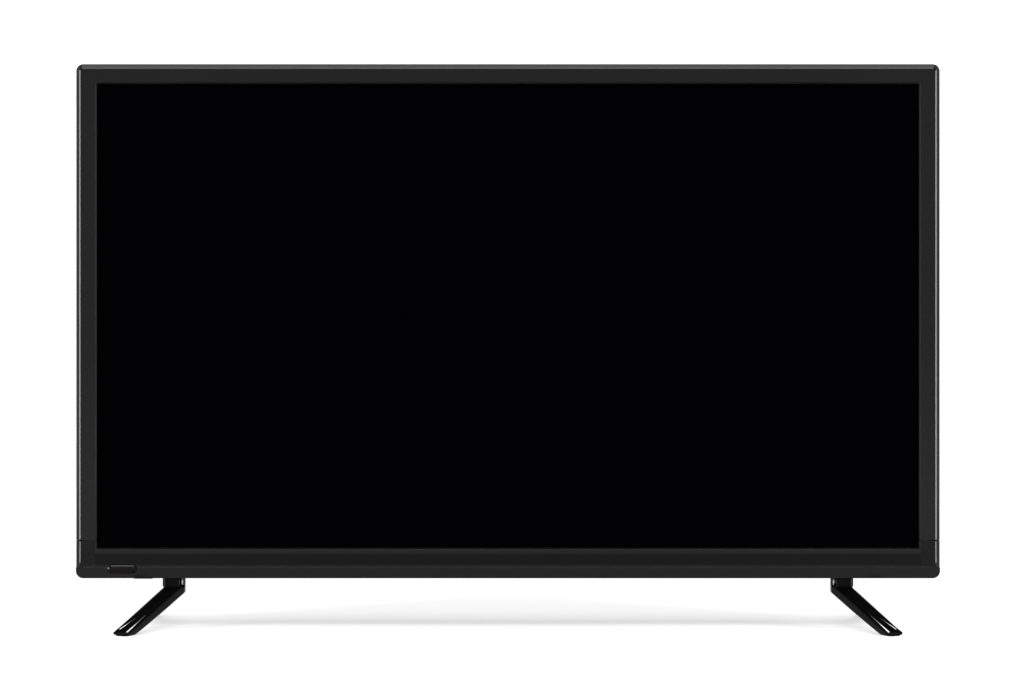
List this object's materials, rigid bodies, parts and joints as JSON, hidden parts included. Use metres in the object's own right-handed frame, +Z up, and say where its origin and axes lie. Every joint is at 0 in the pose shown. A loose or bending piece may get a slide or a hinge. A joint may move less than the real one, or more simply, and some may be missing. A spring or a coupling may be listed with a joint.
{
  "type": "flat screen tv",
  "caption": "Flat screen television with a slim black surround, separate bottom bar, rear bulge with sockets, side keys and a pair of splayed feet.",
  "frame": {"origin": "on the table, midway between the toes", "axes": "+X to the right seen from the front, -Y towards the viewer, +Z up"},
  "size_m": [0.7356, 0.19, 0.481],
  "materials": {
    "surround_black": "semi-gloss black ABS, moulded",
    "screen": "dark anti-glare polariser on glass",
    "lens_black": "polished infrared-clear plastic",
    "key_black": "fine moulded texture",
    "cover_black": "spark-textured black ABS",
    "foot_black": "high-gloss black ABS",
    "rubber_black": "matt black rubber",
    "mid_grey_plastic": "moulded polycarbonate",
    "optical_white": "white optical sheet",
    "light_bar": "aluminium-backed light bar",
    "pan_steel": "galvanised sheet steel",
    "screw_steel": "zinc-plated steel",
    "screw_black": "blackened steel",
    "board_green": "solder-masked glass fibre board",
    "board_brown": "bare phenolic board",
    "tape_amber": "polyimide film",
    "cable_cream": "insulated flat cable and wire",
    "sink_aluminium": "mill-finish aluminium",
    "socket_nickel": "nickel-plated steel",
    "socket_black": "black socket moulding",
    "av_colours": "coloured socket mouldings, red, white and yellow",
    "transformer_dark": "ferrite core and tape",
    "capacitor_blue": "sleeved aluminium can",
    "speaker_box_black": "moulded box",
    "basket_steel": "pressed steel",
    "magnet_dark": "ferrite magnet",
    "cone_paper": "treated paper"
  },
  "bodies": {
    "set": {"front_frame": "surround_black", "bottom_bar": "surround_black", "lcd_panel": "screen", "ir_window": "lens_black", "rear_cover": "cover_black", "foot_left": "foot_black", "foot_right": "foot_black", "foot_pads": "rubber_black", "speaker_grommets": "rubber_black", "speaker_surrounds": "rubber_black", "mid_frame": "mid_grey_plastic", "prism_film": "optical_white", "diffuser_film": "optical_white", "diffuser_plate": "optical_white", "reflector_sheet": "optical_white", "led_lenses": "optical_white", "diffuser_posts": "optical_white", "led_bars": "light_bar", "back_pan": "pan_steel", "foot_brackets": "pan_steel", "vesa_standoffs": "pan_steel", "frame_screws": "screw_steel", "foot_screws": "screw_steel", "inner_screws": "screw_steel", "cover_screws": "screw_black", "source_board": "board_green", "main_board": "board_green", "ir_board": "board_green", "key_board": "board_green", "power_board": "board_brown", "cof_tapes": "tape_amber", "lvds_cable": "cable_cream", "wire_looms": "cable_cream", "chip_heatsink": "sink_aluminium", "power_heatsink": "sink_aluminium", "tuner_can": "socket_nickel", "antenna_socket": "socket_nickel", "hdmi_sockets": "socket_nickel", "usb_socket": "socket_nickel", "headphone_jack": "socket_black", "ac_inlet": "socket_black", "ir_sensor": "socket_black", "key_switches": "socket_black", "av_sockets": "av_colours", "power_transformer": "transformer_dark", "power_capacitors": "capacitor_blue", "speaker_box_left": "speaker_box_black", "speaker_box_right": "speaker_box_black", "speaker_baskets": "basket_steel", "speaker_magnets": "magnet_dark"},
    "power_key": {"power_key": "key_black"},
    "source_key": {"source_key": "key_black"},
    "menu_key": {"menu_key": "key_black"},
    "volume_up_key": {"volume_up_key": "key_black"},
    "volume_down_key": {"volume_down_key": "key_black"},
    "channel_up_key": {"channel_up_key": "key_black"},
    "channel_down_key": {"channel_down_key": "key_black"},
    "left_cone": {"left_cone": "cone_paper"},
    "right_cone": {"right_cone": "cone_paper"}
  },
  "joints": [
    {"name": "power_key_press", "type": "slide", "parent": "set", "child": "power_key", "axis": [0, 0, 1], "range_m": [0, 0.0006], "stiffness_N_per_m": 800},
    {"name": "source_key_press", "type": "slide", "parent": "set", "child": "source_key", "axis": [-1, 0, 0], "range_m": [0, 0.0006], "stiffness_N_per_m": 800},
    {"name": "menu_key_press", "type": "slide", "parent": "set", "child": "menu_key", "axis": [-1, 0, 0], "range_m": [0, 0.0006], "stiffness_N_per_m": 800},
    {"name": "volume_up_key_press", "type": "slide", "parent": "set", "child": "volume_up_key", "axis": [-1, 0, 0], "range_m": [0, 0.0006], "stiffness_N_per_m": 800},
    {"name": "volume_down_key_press", "type": "slide", "parent": "set", "child": "volume_down_key", "axis": [-1, 0, 0], "range_m": [0, 0.0006], "stiffness_N_per_m": 800},
    {"name": "channel_up_key_press", "type": "slide", "parent": "set", "child": "channel_up_key", "axis": [-1, 0, 0], "range_m": [0, 0.0006], "stiffness_N_per_m": 800},
    {"name": "channel_down_key_press", "type": "slide", "parent": "set", "child": "channel_down_key", "axis": [-1, 0, 0], "range_m": [0, 0.0006], "stiffness_N_per_m": 800},
    {"name": "left_cone_stroke", "type": "slide", "parent": "set", "child": "left_cone", "axis": [0, 0, 1], "range_m": [-0.001, 0.001], "stiffness_N_per_m": 1500},
    {"name": "right_cone_stroke", "type": "slide", "parent": "set", "child": "right_cone", "axis": [0, 0, 1], "range_m": [-0.001, 0.001], "stiffness_N_per_m": 1500}
  ]
}
